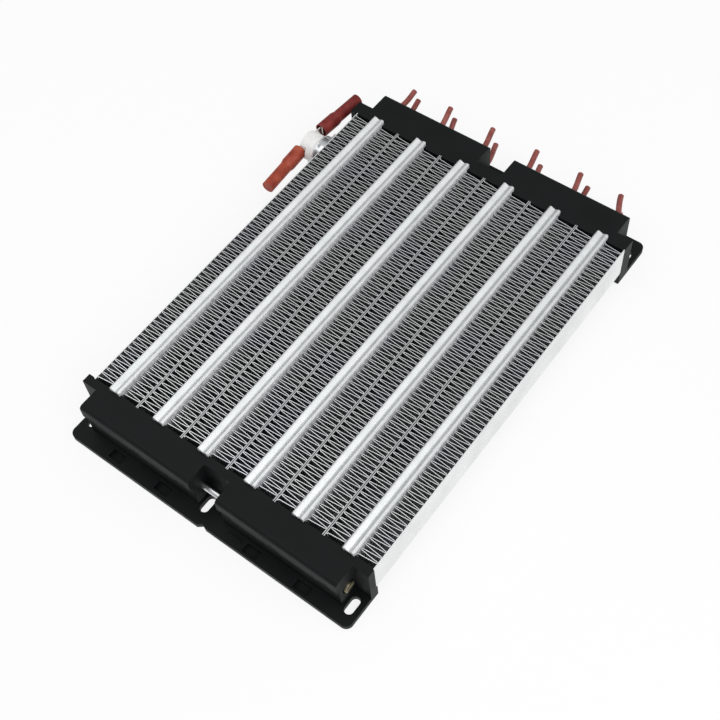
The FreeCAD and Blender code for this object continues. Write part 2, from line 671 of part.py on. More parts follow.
def cutout_body():
    """The ceramic body, with two flats that clear the connectors."""
    body = cutout_disc(BODY_DIAMETER / 2, BODY_OUTER_X, BODY_INNER_X)
    beyond = BODY_DIAMETER
    flats = [box(BODY_OUTER_X, BODY_OUTER_X + BODY_FLAT_LENGTH, CUTOUT_Y + side * BODY_FLAT_SPAN / 2,
                 CUTOUT_Y + side * beyond, CORE_MID_Z - beyond, CORE_MID_Z + beyond) for side in (-1, 1)]
    return body.cut(flats)


def turned(shape, side, angle):
    """Turn what lies beyond a flat of the body towards the core, about the blade's bend there."""
    bend = Vector(BLADE_MID_X, CUTOUT_Y + side * BODY_FLAT_SPAN / 2, CORE_MID_Z)
    copy = shape.copy()
    copy.rotate(bend, Vector(0, 0, 1), -side * angle)
    return copy


def connector_sides():
    """Side, sleeve mouth and blade turn of the front and the rear connector."""
    flat = BODY_FLAT_SPAN / 2
    return [(-1, flat + FRONT_SLEEVE_GAP, FRONT_BLADE_TURN), (1, flat + REAR_SLEEVE_GAP, REAR_BLADE_TURN)]


def blade_box(half_x, half_z, side, reach0, reach1):
    """A flat box round the blades' line, between two distances from the cut-out's axis."""
    return box(BLADE_MID_X - half_x, BLADE_MID_X + half_x, CUTOUT_Y + side * reach0, CUTOUT_Y + side * reach1,
               CORE_MID_Z - half_z, CORE_MID_Z + half_z)


def cutout_blades():
    """Two flat blades on the body's outer face, one to the front and one to the rear."""
    blades = []
    for side, _, angle in connector_sides():
        root = blade_box(BLADE_SHEET / 2, BLADE_WIDTH / 2, side, BLADE_START, BODY_FLAT_SPAN / 2)
        arm = blade_box(BLADE_SHEET / 2, BLADE_WIDTH / 2, side, BODY_FLAT_SPAN / 2, BLADE_REACH)
        bend = cylinder_z(BLADE_SHEET / 2, BLADE_MID_X, CUTOUT_Y + side * BODY_FLAT_SPAN / 2, BLADE_WIDTH)
        blades.append(root.fuse([bend, turned(arm, side, angle)]).removeSplitter())
    return Part.makeCompound(blades)


def cylinder_z(radius, x, y, height):
    """An upright cylinder centred on the cut-out's height."""
    return Part.makeCylinder(radius, height, Vector(x, y, CORE_MID_Z - height / 2))


def terminal_receptacles():
    """A push-on receptacle on each blade, as a flat tube of sheet metal."""
    inner_x = BLADE_SHEET / 2 + RECEPTACLE_GAP
    inner_z = BLADE_WIDTH / 2 + RECEPTACLE_GAP
    shells = []
    for side, mouth, angle in connector_sides():
        start = mouth + RECEPTACLE_INSET
        end = start + RECEPTACLE_LENGTH
        outer = blade_box(inner_x + RECEPTACLE_SHEET, inner_z + RECEPTACLE_SHEET, side, start, end)
        shells.append(turned(outer.cut(blade_box(inner_x, inner_z, side, start, end)), side, angle))
    return Part.makeCompound(shells)


def terminal_sleeves():
    """An insulating sleeve over each receptacle: wide over the metal, with a narrower barrel."""
    half_diagonal = math.hypot(BLADE_WIDTH / 2 + RECEPTACLE_GAP + RECEPTACLE_SHEET,
                               BLADE_SHEET / 2 + RECEPTACLE_GAP + RECEPTACLE_SHEET)
    bore = half_diagonal + STACK_CLEARANCE
    profile = [(bore, 0), (SLEEVE_MOUTH_RADIUS, 0), (SLEEVE_MOUTH_RADIUS, SLEEVE_MOUTH_LENGTH),
               (SLEEVE_BARREL_RADIUS, SLEEVE_BARREL_AT), (SLEEVE_BARREL_RADIUS, SLEEVE_LENGTH),
               (0, SLEEVE_LENGTH), (0, SLEEVE_POCKET_DEPTH), (bore, SLEEVE_POCKET_DEPTH)]
    sleeves = []
    for side, mouth, angle in connector_sides():
        points = [Vector(BLADE_MID_X + radius, CUTOUT_Y + side * (mouth + along), CORE_MID_Z)
                  for radius, along in profile]
        face = Part.Face(Part.makePolygon(points + points[:1]))
        sleeve = face.revolve(Vector(BLADE_MID_X, CUTOUT_Y, CORE_MID_Z), Vector(0, 1, 0), 360)
        sleeves.append(turned(sleeve, side, angle))
    return Part.makeCompound(sleeves)


def module_pieces():
    """The tube with its stack, the fin strips and the backing plates of each heater module."""
    strip_near = TUBE_HALF_X + BOND
    strip_far = strip_near + FIN_HEIGHT
    plate_near = PLATE_INNER_X
    plate_far = MODULE_HALF_X
    nodes = {}
    for number, centre in enumerate(tube_centres(), start=1):
        nodes["heater_tube_%d" % number] = heater_tube(centre)
        nodes["ptc_chips_%d" % number] = ptc_chips(centre)
        nodes["electrode_pair_%d" % number] = electrode_pair(centre)
        nodes["fin_strip_%d_left" % number] = fin_strip(centre - strip_far, centre - strip_near)
        nodes["fin_strip_%d_right" % number] = fin_strip(centre + strip_near, centre + strip_far)
        nodes["backing_plate_%d_left" % number] = backing_plate(centre - plate_far, centre - plate_near)
        nodes["backing_plate_%d_right" % number] = backing_plate(centre + plate_near, centre + plate_far)
    return nodes


def all_pieces():
    nodes = module_pieces()
    nodes["insulating_films"] = Part.makeCompound([insulating_film(centre) for centre in tube_centres()])
    nodes["front_frame"] = front_frame()
    nodes["rear_frame"] = rear_frame()
    nodes["tie_rod"] = tie_rod()
    nodes["tie_rod_screws"] = tie_rod_screws()
    nodes["lead_conductors"] = lead_conductors()
    nodes["upper_lead_sleeves"] = upper_lead_sleeves()
    nodes["lower_lead_sleeves"] = lower_lead_sleeves()
    nodes["cutout_cap"] = cutout_cap()
    nodes["cutout_bracket"] = cutout_bracket()
    nodes["bracket_rivets"] = bracket_rivets()
    nodes["cutout_body"] = cutout_body()
    nodes["cutout_blades"] = cutout_blades()
    nodes["terminal_receptacles"] = terminal_receptacles()
    nodes["terminal_sleeves"] = terminal_sleeves()
    return nodes


os.makedirs("parts", exist_ok=True)
for name, shape in all_pieces().items():
    shape.exportStep("parts/%s.step" % name)
    print(name, len(shape.Solids), "solids, valid", shape.isValid(), "volume %.1f" % shape.Volume)
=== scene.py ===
import json
import math
import random
from collections import namedtuple

import bpy
from mathutils import Matrix, Vector

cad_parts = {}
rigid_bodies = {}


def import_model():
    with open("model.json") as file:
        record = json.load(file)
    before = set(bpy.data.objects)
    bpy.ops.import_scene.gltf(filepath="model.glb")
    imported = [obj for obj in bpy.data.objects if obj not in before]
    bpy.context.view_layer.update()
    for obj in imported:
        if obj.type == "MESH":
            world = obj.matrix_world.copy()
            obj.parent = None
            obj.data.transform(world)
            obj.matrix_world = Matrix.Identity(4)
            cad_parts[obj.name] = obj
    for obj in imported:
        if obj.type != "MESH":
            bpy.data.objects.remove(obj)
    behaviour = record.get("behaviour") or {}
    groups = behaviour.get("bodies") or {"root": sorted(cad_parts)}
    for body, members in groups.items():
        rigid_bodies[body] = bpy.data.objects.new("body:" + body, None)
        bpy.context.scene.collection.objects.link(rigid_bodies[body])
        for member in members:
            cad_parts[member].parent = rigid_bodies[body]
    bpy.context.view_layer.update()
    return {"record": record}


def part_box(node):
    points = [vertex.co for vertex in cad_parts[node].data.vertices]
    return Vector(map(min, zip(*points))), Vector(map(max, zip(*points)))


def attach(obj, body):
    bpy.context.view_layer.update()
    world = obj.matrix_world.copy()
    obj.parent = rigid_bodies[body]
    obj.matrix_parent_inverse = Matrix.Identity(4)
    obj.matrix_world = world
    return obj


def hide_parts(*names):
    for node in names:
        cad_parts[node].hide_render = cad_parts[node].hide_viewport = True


MM = 0.001

# Camera: the photograph's viewing angle, in the part's frame; angles in degrees, lens and sensor in mm
CAMERA_PLACE = (246.1 * MM, -269.45 * MM, 544.4 * MM)
CAMERA_AZIMUTH = 42.6
CAMERA_ELEVATION = 57.3
CAMERA_ROLL = -6.5
CAMERA_LENS = 59.83
CAMERA_SENSOR = 36.0
CAMERA_CLIP = (0.01, 20.0)

# Sky: brighter towards SKY_SIDE
SKY_SIDE = (0.30, 0.0, 0.95)
SKY_RANGE = (-0.05, 0.68)
SKY_LEVELS = (0.12, 1.0)

# Floor: a pale disc with a low backdrop at its rim, in metres
FLOOR_RADIUS = 20.0
FLOOR_SIDES = 48
BACKDROP_HEIGHT = 1.6
FLOOR_COLOUR = (0.9, 0.9, 0.9, 1.0)
FLOOR_GLOW = 0.84

# Soft square lamps: where each shines from in degrees, its power in watts and its side in metres
Lamp = namedtuple("Lamp", "name azimuth elevation power size")
LAMPS = (
    Lamp("key", azimuth=65.0, elevation=42.0, power=2.4, size=0.5),
    Lamp("back", azimuth=140.0, elevation=55.0, power=0.3, size=0.6),
    Lamp("fill", azimuth=-70.0, elevation=58.0, power=1.2, size=0.7),
)
LAMP_DISTANCE = 0.9
LAMP_AIM = (0.0, 0.0, 15.0 * MM)

# Heating tubes, each with a fin strip on either side
TUBE_COUNT = 6
TUBE_PITCH = 30.0 * MM
FIRST_TUBE_X = -68.0 * MM

# The outermost backing plates, which are the core's plain side plates
SIDE_PLATES = ("backing_plate_1_left", "backing_plate_6_right")

# Folded fins: rounded folds, a little uneven in pitch, bow, height and reach
FOLDS = 67.6
FIN_SHEET = 0.32 * MM
FIN_TIP_RADIUS = 0.38 * MM
FIN_TIP_STEPS = 3
FIN_PITCH_SCATTER = 0.10
FIN_LEAN_KEPT = 0.6
FIN_BOW = 0.10 * MM
FIN_HEIGHT_SCATTER = 0.20 * MM
FIN_REACH_SCATTER = 0.10 * MM
FIN_SEED = 11

# Leads out of the rear frame, an upper and a lower row: where the row's holes are off the tubes, how
# far it reaches, and for each lead how it bows and where its tip stands off its hole (across, up), in mm
Leads = namedtuple("Leads", "side height reach bows tips")
LEAD_ROWS = {
    "upper_lead": Leads(
        side=-1.6 * MM, height=22.5 * MM, reach=16.5 * MM,
        bows=(2.0, 0.0, 0.0, 0.0, 0.0, -2.4),
        tips=((0.7, 0.9), (-3.0, 1.7), (-3.0, 1.7), (-2.7, 1.3), (-3.5, 0.2), (-7.3, -1.4))),
    "lower_lead": Leads(
        side=1.6 * MM, height=12.0 * MM, reach=17.7 * MM,
        bows=(0.8, 0.0, 0.0, 0.0, 0.0, -2.0),
        tips=((-0.6, 4.0), (-4.0, 3.1), (-4.5, -1.2), (-3.5, -0.5), (-1.7, 1.3), (-9.5, -7.3))),
}
LEAD_FACE_Y = 132.05 * MM
LEAD_WALL = 4.0 * MM
LEAD_RADIUS = 1.66 * MM
LEAD_LIP = 0.1 * MM
LEAD_SIDES = 20
LEAD_STEPS = 12

# The two points that a lead's curve is drawn towards, as shares of its length, and the second's share
# of the bow
LEAD_FIRST_PULL = 0.35
LEAD_SECOND_PULL = 0.66
LEAD_SECOND_BOW = 0.3

# Stranded copper in the lead ends; the spacing is in strand radii, the twist in radians
CORE_RADIUS = 0.92 * MM
CORE_DEPTH = 0.5 * MM
STRAND_COUNT = 6
STRAND_RADIUS = 0.29 * MM
STRAND_SPACING = 2.02
STRAND_SIDES = 8
STRAND_LENGTH = 3.0 * MM
STRAND_STEPS = 6
STRAND_TWIST = 0.9

# Smooth pieces keep the edges that turn by more than this
SHARP_ANGLE = math.radians(40.0)

# Rounded edges are shaded with this many samples
BEVEL_SAMPLES = 4

# Noise keeps mostly within this range, so colours and roughness are spread over it
NOISE_RANGE = (0.3, 0.7)

# How far a surface's normal points up where it goes from a side to a top
FACING_UP = (0.4, 0.8)

# How much longer a streak is than wide, along each axis
STREAK = 14.0
ALONG = (1.0, STREAK, 1.0)
ACROSS = (STREAK, 1.0, 1.0)
EVEN = (1.0, 1.0, 1.0)

# In the tables below patches, grain and streaks are in waves per metre, and roughness is a range

# Moulded surfaces: patches vary the colour and the gloss, a fine grain is the surface
Moulded = namedtuple("Moulded", "dark light roughness patches grain depth rounded specular")
MOULDED = {
    "frame_plastic": Moulded((0.0034, 0.0048, 0.0050), (0.0062, 0.0082, 0.0083), (0.46, 0.60),
                             patches=55.0, grain=3200.0, depth=0.02 * MM, rounded=0.6 * MM, specular=0.15),
    "white_ceramic": Moulded((0.82, 0.815, 0.80), (0.90, 0.895, 0.885), (0.40, 0.52),
                             patches=260.0, grain=2600.0, depth=0.03 * MM, rounded=0.3 * MM, specular=0.5),
}

# Plain metals, and the film and chips inside: patches vary the colour, streaks the gloss and surface
Metal = namedtuple("Metal", "dark light roughness patches streaks stretch depth rounded")
METALS = {
    "side_plate": Metal((0.78, 0.785, 0.79), (0.88, 0.885, 0.89), (0.34, 0.48),
                        60.0, 1200.0, ALONG, 0.02 * MM, 0.0),
    "electrode_aluminium": Metal((0.70, 0.70, 0.70), (0.78, 0.78, 0.78), (0.3, 0.4),
                                 80.0, 900.0, ALONG, 0.02 * MM, 0.0),
    "chip_ceramic": Metal((0.25, 0.24, 0.23), (0.33, 0.31, 0.30), (0.5, 0.6),
                          200.0, 900.0, EVEN, 0.02 * MM, 0.0),
    "copper": Metal((0.66, 0.34, 0.20), (0.80, 0.46, 0.30), (0.24, 0.36),
                    500.0, 3000.0, ALONG, 0.02 * MM, 0.0),
    "steel": Metal((0.62, 0.63, 0.64), (0.74, 0.75, 0.76), (0.18, 0.30),
                   120.0, 1600.0, ACROSS, 0.02 * MM, 0.2 * MM),
    "screw_brass": Metal((0.60, 0.53, 0.34), (0.76, 0.70, 0.50), (0.24, 0.36),
                         400.0, 2400.0, EVEN, 0.02 * MM, 0.2 * MM),
    "cap_steel": Metal((0.60, 0.61, 0.62), (0.74, 0.75, 0.76), (0.14, 0.24),
                       200.0, 1600.0, EVEN, 0.02 * MM, 0.3 * MM),
    "bracket_steel": Metal((0.56, 0.57, 0.58), (0.74, 0.75, 0.76), (0.12, 0.24),
                           240.0, 1800.0, EVEN, 0.03 * MM, 0.3 * MM),
    "rivet_aluminium": Metal((0.72, 0.73, 0.74), (0.82, 0.83, 0.84), (0.26, 0.36),
                             300.0, 1800.0, EVEN, 0.02 * MM, 0.3 * MM),
    "tinned_brass": Metal((0.66, 0.65, 0.62), (0.80, 0.79, 0.76), (0.18, 0.30),
                          300.0, 2000.0, EVEN, 0.02 * MM, 0.15 * MM),
    "film": Metal((0.52, 0.28, 0.05), (0.66, 0.38, 0.08), (0.2, 0.3),
                  90.0, 600.0, EVEN, 0.01 * MM, 0.0),
}

# Thin sheet: how bright its sides and its cut edges on top are, and the tints across it; the dark sides
# are painted shade and the bright top edges a painted highlight
Sheet = namedtuple("Sheet", "sides edges roughness")
SHEETS = {
    "fin_aluminium": Sheet(sides=0.50, edges=0.90, roughness=(0.30, 0.46)),
    "plate_aluminium": Sheet(sides=0.10, edges=0.58, roughness=(0.36, 0.50)),
}
SHEET_TINTS = ((0.95, 1.02, 1.00), (0.98, 1.0, 1.01), (0.97, 0.98, 1.04))
SHEET_TINT_STOPS = (0.32, 0.5, 0.68)

# Silicone sleeving: its shades from dark to light, and those of the sleeve in front of the cut-out; the
# rear sleeve's darker shades are painted shade
Sleeving = namedtuple("Sleeving", "shades front_shades roughness")
SLEEVING = {
    "silicone": Sleeving(
        shades=((0.120, 0.012, 0.010), (0.200, 0.024, 0.020), (0.300, 0.046, 0.038)),
        front_shades=((0.250, 0.036, 0.020), (0.360, 0.062, 0.034), (0.460, 0.110, 0.062)),
        roughness=(0.42, 0.58)),
    "lead_silicone": Sleeving(
        shades=((0.200, 0.046, 0.038), (0.285, 0.076, 0.064), (0.370, 0.120, 0.100)),
        front_shades=None,
        roughness=(0.36, 0.50)),
}
SLEEVING_STOPS = (0.28, 0.5, 0.72)
SLEEVING_SPECULAR = 0.25

# Thermal cut-out: its axis, and how far either side of it one sleeve's shades go over to the other's; the
# darker rear sleeve is painted shade
CUTOUT_Y = 81.75 * MM
CUTOUT_BLEND = 2.0 * MM

# Tubes: metal on top, their sides painted a mottled matt grey by which way they face, as painted light
TUBE_TOPS = ((0.76, 0.785, 0.79), (0.85, 0.87, 0.875))
TUBE_PAINTED_SIDES = ((0.46, 0.47, 0.48), (0.84, 0.85, 0.86))
TUBE_METALLIC = (0.05, 0.92)
TUBE_ROUGHNESS = (0.40, 0.54)


def new_tree(owner):
    """Switch on the nodes of a material or world, and clear them."""
    owner.use_nodes = True
    owner.node_tree.nodes.clear()
    return owner.node_tree


def add_node(tree, kind, **settings):
    """A new node with its settings."""
    node = tree.nodes.new(kind)
    for key, value in settings.items():
        setattr(node, key, value)
    return node


def new_material(name):
    """A material with one shader: returns the material, its node tree and the shader."""
    material = bpy.data.materials.new(name)
    tree = new_tree(material)
    output = add_node(tree, "ShaderNodeOutputMaterial")
    shader = add_node(tree, "ShaderNodeBsdfPrincipled")
    tree.links.new(shader.outputs["BSDF"], output.inputs["Surface"])
    return material, tree, shader


def noise(tree, waves, detail, stretch=EVEN):
    """Noise in the part's own space, in waves per metre; stretch lengthens it along an axis."""
    place = add_node(tree, "ShaderNodeTexCoord")
    mapping = add_node(tree, "ShaderNodeMapping")
    mapping.inputs["Scale"].default_value = [1.0 / length for length in stretch]
    texture = add_node(tree, "ShaderNodeTexNoise")
    texture.inputs["Scale"].default_value = waves
    texture.inputs["Detail"].default_value = detail
    tree.links.new(place.outputs["Object"], mapping.inputs["Vector"])
    tree.links.new(mapping.outputs["Vector"], texture.inputs["Vector"])
    return texture.outputs["Fac"]


def spread(tree, value, levels, span=NOISE_RANGE):
    """Bring a value that runs over a span to a range of levels."""
    node = add_node(tree, "ShaderNodeMapRange")
    node.inputs["From Min"].default_value, node.inputs["From Max"].default_value = span
    node.inputs["To Min"].default_value, node.inputs["To Max"].default_value = levels
    tree.links.new(value, node.inputs["Value"])
    return node.outputs["Result"]


def ramp(tree, value, colours, stops=NOISE_RANGE):
    """Colour a value: one colour for each stop, and blends between them."""
    node = add_node(tree, "ShaderNodeValToRGB")
    elements = node.color_ramp.elements
    elements[0].position = stops[0]
    elements[1].position = stops[-1]
    elements[0].color = (*colours[0], 1.0)
    elements[1].color = (*colours[-1], 1.0)
    for stop, colour in zip(stops[1:-1], colours[1:-1]):
        elements.new(stop).color = (*colour, 1.0)
    tree.links.new(value, node.inputs["Fac"])
    return node.outputs["Color"]


def blend_colours(tree, share, first, second):
    """The first colour where the share is 0, the second where it is 1."""
    mix = add_node(tree, "ShaderNodeMix", data_type="RGBA")
    first_input, second_input = [socket for socket in mix.inputs if socket.type == "RGBA"]
    tree.links.new(share, mix.inputs["Factor"])
    tree.links.new(first, first_input)
    tree.links.new(second, second_input)
    return [socket for socket in mix.outputs if socket.type == "RGBA"][0]


def bump(tree, shader, height, depth, strength, rounded=0.0):
    """Bump a surface; rounded softens its sharp edges by that radius."""
    node = add_node(tree, "ShaderNodeBump")
    node.inputs["Strength"].default_value = strength
    node.inputs["Distance"].default_value = depth
    tree.links.new(height, node.inputs["Height"])
    if rounded:
        bevel = add_node(tree, "ShaderNodeBevel", samples=BEVEL_SAMPLES)
        bevel.inputs["Radius"].default_value = rounded
        tree.links.new(bevel.outputs["Normal"], node.inputs["Normal"])
    tree.links.new(node.outputs["Normal"], shader.inputs["Normal"])


def painted_light_mask(tree):
    """1 where a surface faces up, 0 on its sides and below; it splits painted light between tops and
    sides.
    """
    geometry = add_node(tree, "ShaderNodeNewGeometry")
    parts = add_node(tree, "ShaderNodeSeparateXYZ")
    tree.links.new(geometry.outputs["True Normal"], parts.inputs["Vector"])
    return spread(tree, parts.outputs["Z"], (0.0, 1.0), span=FACING_UP)


def moulded(name, look):
    """A moulded surface with faint mottling, a fine grain and softened edges."""
    material, tree, shader = new_material(name)
    patches = noise(tree, look.patches, detail=4.0)
    grain = noise(tree, look.grain, detail=2.0)
    tree.links.new(ramp(tree, patches, (look.dark, look.light)), shader.inputs["Base Color"])
    tree.links.new(spread(tree, patches, look.roughness), shader.inputs["Roughness"])
    shader.inputs["Specular IOR Level"].default_value = look.specular
    bump(tree, shader, grain, look.depth, strength=0.5, rounded=look.rounded)
    return material


def metal(name, look):
    """Bare metal: patches vary its colour, fine streaks its roughness and surface."""
    material, tree, shader = new_material(name)
    patches = noise(tree, look.patches, detail=5.0)
    streaks = noise(tree, look.streaks, detail=3.0, stretch=look.stretch)
    tree.links.new(ramp(tree, patches, (look.dark, look.light)), shader.inputs["Base Color"])
    tree.links.new(spread(tree, streaks, look.roughness), shader.inputs["Roughness"])
    shader.inputs["Metallic"].default_value = 1.0
    bump(tree, shader, streaks, look.depth, strength=0.6, rounded=look.rounded)
    return material


def sheet(name, look):
    """Thin sheet: its cut edges on top painted bright as a painted highlight, its sides painted dark as
    painted shade, a faint green and violet tint here and there.
    """
    material, tree, shader = new_material(name)
    tint = noise(tree, waves=34.0, detail=2.0)
    patches = noise(tree, waves=420.0, detail=3.0)
    # The sides' level is painted shade and the top edges' level a painted highlight, blended by which way
    # the surface faces
    sides, edges = [
        ramp(tree, tint, [[level * part for part in colour] for colour in SHEET_TINTS], SHEET_TINT_STOPS)
        for level in (look.sides, look.edges)]
    tree.links.new(blend_colours(tree, painted_light_mask(tree), sides, edges), shader.inputs["Base Color"])
    tree.links.new(spread(tree, patches, look.roughness), shader.inputs["Roughness"])
    shader.inputs["Metallic"].default_value = 1.0
    bump(tree, shader, patches, depth=0.04 * MM, strength=0.5)
    return material


def sleeving(name, look):
    """Silicone sleeving: satin and blotchy; where it has front shades, the sleeve at the rear of the
    cut-out is painted darker, as painted shade.
    """
    material, tree, shader = new_material(name)
    patches = noise(tree, waves=190.0, detail=4.0)
    grain = noise(tree, waves=1500.0, detail=2.0)
    colour = ramp(tree, patches, look.shades, SLEEVING_STOPS)
    if look.front_shades:
        # The rear sleeve gets the darker shades: painted shade
        place = add_node(tree, "ShaderNodeTexCoord")
        parts = add_node(tree, "ShaderNodeSeparateXYZ")
        tree.links.new(place.outputs["Object"], parts.inputs["Vector"])
        blend = (CUTOUT_Y - CUTOUT_BLEND, CUTOUT_Y + CUTOUT_BLEND)
        shaded_rear = spread(tree, parts.outputs["Y"], (0.0, 1.0), span=blend)
        front = ramp(tree, patches, look.front_shades, SLEEVING_STOPS)
        colour = blend_colours(tree, shaded_rear, front, colour)
    tree.links.new(colour, shader.inputs["Base Color"])
    tree.links.new(spread(tree, grain, look.roughness), shader.inputs["Roughness"])
    shader.inputs["Specular IOR Level"].default_value = SLEEVING_SPECULAR
    bump(tree, shader, grain, depth=0.06 * MM, strength=0.6, rounded=0.25 * MM)
    return material


def tube_metal(name):
    """Drawn aluminium with fine lines along it: metal on top, its sides painted a mottled matt grey by
    which way they face, as painted light.
    """
    material, tree, shader = new_material(name)
    patches = noise(tree, waves=150.0, detail=5.0)
    smears = noise(tree, waves=420.0, detail=4.0)
    lines = noise(tree, waves=900.0, detail=3.0, stretch=ALONG)
    # Tops keep the metal; sides get a painted matt grey that stands in for the light on them
    top = painted_light_mask(tree)
    colour = blend_colours(tree, top, ramp(tree, smears, TUBE_PAINTED_SIDES), ramp(tree, patches, TUBE_TOPS))
    tree.links.new(colour, shader.inputs["Base Color"])
    tree.links.new(spread(tree, top, TUBE_METALLIC, span=(0.0, 1.0)), shader.inputs["Metallic"])
    tree.links.new(spread(tree, lines, TUBE_ROUGHNESS), shader.inputs["Roughness"])
    bump(tree, shader, lines, depth=0.004 * MM, strength=0.6, rounded=0.2 * MM)
    return material


def make_materials():
    """Every material, by its name."""
    materials = {"tube_aluminium": tube_metal("tube_aluminium")}
    for make, looks in ((moulded, MOULDED), (metal, METALS), (sheet, SHEETS), (sleeving, SLEEVING)):
        for name, look in looks.items():
            materials[name] = make(name, look)
    return materials


def dress_nodes(frame, materials):
    """Give each carried-over node its procedural material."""
    for entry in frame["record"]["subparts"]:
        node = bpy.data.objects[entry["node"]]
        material = materials[entry["material_slot"]]
        if not node.material_slots:
            node.data.materials.append(material)
        for slot in node.material_slots:
            slot.material = material
    for node in SIDE_PLATES:
        for slot in bpy.data.objects[node].material_slots:
            slot.material = materials["side_plate"]


def add_mesh(name, vertices, faces, material, smooth=False):
    """A new piece from its vertices and faces."""
    mesh = bpy.data.meshes.new(name)
    mesh.from_pydata(vertices, [], faces)
    mesh.update()
    mesh.materials.append(material)
    if smooth:
        mesh.shade_smooth()
        mesh.set_sharp_from_angle(angle=SHARP_ANGLE)
    piece = bpy.data.objects.new(name, mesh)
    bpy.context.scene.collection.objects.link(piece)
    return piece


def fold_line(half_width, length, rng):
    """Centre line of one folded strip, as points across (u) and along (v): bowed legs and tight tips."""
    half_folds = int(round(2 * FOLDS))
    step = length / half_folds
    scatter = FIN_PITCH_SCATTER * step
    points = []
    lean = 0.0
    for index in range(half_folds):
        side = 1 if index % 2 else -1
        lean = FIN_LEAN_KEPT * lean + rng.uniform(-scatter, scatter)
        middle = (index + 0.5) * step + lean
        reach = half_width - rng.uniform(0.0, FIN_REACH_SCATTER) - FIN_TIP_RADIUS
        if points:
            halfway = (points[-1][1] + middle - FIN_TIP_RADIUS) / 2
            points.append((0.0, halfway + rng.uniform(-FIN_BOW, FIN_BOW)))
        for turn in range(FIN_TIP_STEPS + 1):
            angle = math.pi * (turn / FIN_TIP_STEPS - 0.5)
            points.append((side * (reach + FIN_TIP_RADIUS * math.cos(angle)),
                           middle + FIN_TIP_RADIUS * math.sin(angle)))
    return points


def offset_line(points, distance):
    """Both sides of a centre line, a distance to the left and to the right of it."""
    left = []
    right = []
    for index, (u, v) in enumerate(points):
        before = points[max(index - 1, 0)]
        after = points[min(index + 1, len(points) - 1)]
        direction = Vector((after[0] - before[0], after[1] - before[1])).normalized()
        normal = Vector((-direction.y, direction.x)) * distance
        left.append((u + normal.x, v + normal.y))
        right.append((u - normal.x, v - normal.y))
    return left, right


def strip_faces(rows):
    """Faces of a closed strip; each row has four vertices: left low, left top, right low, right top."""
    faces = []
    for row in range(rows - 1):
        a = 4 * row
        b = a + 4
        faces.append((a, a + 1, b + 1, b))
        faces.append((a + 3, a + 2, b + 2, b + 3))
        faces.append((a + 1, a + 3, b + 3, b + 1))
        faces.append((a + 2, a, b, b + 2))
    last = 4 * (rows - 1)
    faces.append((0, 2, 3, 1))
    faces.append((last, last + 1, last + 3, last + 2))
    return faces


def fin_piece(node, material, rng):
    """A folded strip that fills its node's box: rounded folds, a little uneven."""
    low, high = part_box(node)
    centre_x = (low[0] + high[0]) / 2
    half_width = (high[0] - low[0]) / 2 - FIN_SHEET / 2
    line = fold_line(half_width, high[1] - low[1] - FIN_SHEET, rng)
    left, right = offset_line(line, FIN_SHEET / 2)
    points_in_fold = FIN_TIP_STEPS + 2
    vertices = []
    for index in range(len(line)):
        if index % points_in_fold == 0:
            top = high[2] - rng.uniform(0.0, FIN_HEIGHT_SCATTER)
        for u, v in (left[index], right[index]):
            y = min(max(low[1] + FIN_SHEET / 2 + v, low[1]), high[1])
            vertices.append((centre_x + u, y, low[2]))
            vertices.append((centre_x + u, y, top))
    return add_mesh(node + "_folds", vertices, strip_faces(len(line)), material)


def make_fins(materials):
    """A folded strip in place of each plain one, on both sides of every tube."""
    rng = random.Random(FIN_SEED)
    for module in range(1, TUBE_COUNT + 1):
        for side in ("left", "right"):
            node = "fin_strip_%d_%s" % (module, side)
            piece = fin_piece(node, materials["fin_aluminium"], rng)
            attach(piece, "root")
            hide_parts(node)


def lead_line(leads, index):
    """Centre line of one lead: straight out of its hole, then bending over to its tip."""
    across, up = leads.tips[index]
    bow = leads.bows[index] * MM
    hole = Vector((FIRST_TUBE_X + TUBE_PITCH * index + leads.side, LEAD_FACE_Y, leads.height))
    tip = hole + Vector((across * MM, leads.reach, up * MM))
    first = hole + Vector((bow, LEAD_FIRST_PULL * leads.reach, 0.0))
    second = hole.lerp(tip, LEAD_SECOND_PULL) + Vector((LEAD_SECOND_BOW * bow, 0.0, 0.0))
    line = [hole - Vector((0.0, LEAD_WALL, 0.0))]
    for step in range(LEAD_STEPS + 1):
        t = step / LEAD_STEPS
        s = 1.0 - t
        line.append(s ** 3 * hole + 3 * s * s * t * first + 3 * s * t * t * second + t ** 3 * tip)
    return line


def directions(line):
    """Which way a line runs at each of its points."""
    ahead = [(after - point).normalized() for point, after in zip(line, line[1:])]
    return [ahead[0]] + [(a + b).normalized() for a, b in zip(ahead, ahead[1:])] + [ahead[-1]]


def off_line(direction, distance, angle):
    """A step square off a line, at an angle round it; the line doesn't run straight up."""
    side = direction.cross(Vector((0.0, 0.0, 1.0))).normalized()
    up = side.cross(direction)
    return side * (distance * math.cos(angle)) + up * (distance * math.sin(angle))


def ring(centre, direction, radius, sides):
    """A ring of points round a line."""
    return [centre + off_line(direction, radius, 2 * math.pi * k / sides) for k in range(sides)]


def skin(rings, vertices, faces):
    """Join rings into a closed tube, added to the lists."""
    base = len(vertices)
    sides = len(rings[0])
    for points in rings:
        vertices.extend(points)
    for row in range(len(rings) - 1):
        for k in range(sides):
            a = base + row * sides + k
            b = base + row * sides + (k + 1) % sides
            faces.append((a, a + sides, b + sides, b))
    faces.append([base + k for k in range(sides)])
    last = base + (len(rings) - 1) * sides
    faces.append([last + k for k in reversed(range(sides))])


def sleeve_mesh(line, vertices, faces):
    """A lead's round sleeve, with a softened lip and the hollow its strands stand in."""
    along = directions(line)
    rings = [ring(p, d, LEAD_RADIUS, LEAD_SIDES) for p, d in zip(line[:-1], along[:-1])]
    tip, end = line[-1], along[-1]
    mouth = ((LEAD_LIP, LEAD_RADIUS), (0.0, LEAD_RADIUS - LEAD_LIP),
             (0.0, CORE_RADIUS), (CORE_DEPTH, CORE_RADIUS))
    for back, radius in mouth:
        rings.append(ring(tip - end * back, end, radius, LEAD_SIDES))
    skin(rings, vertices, faces)


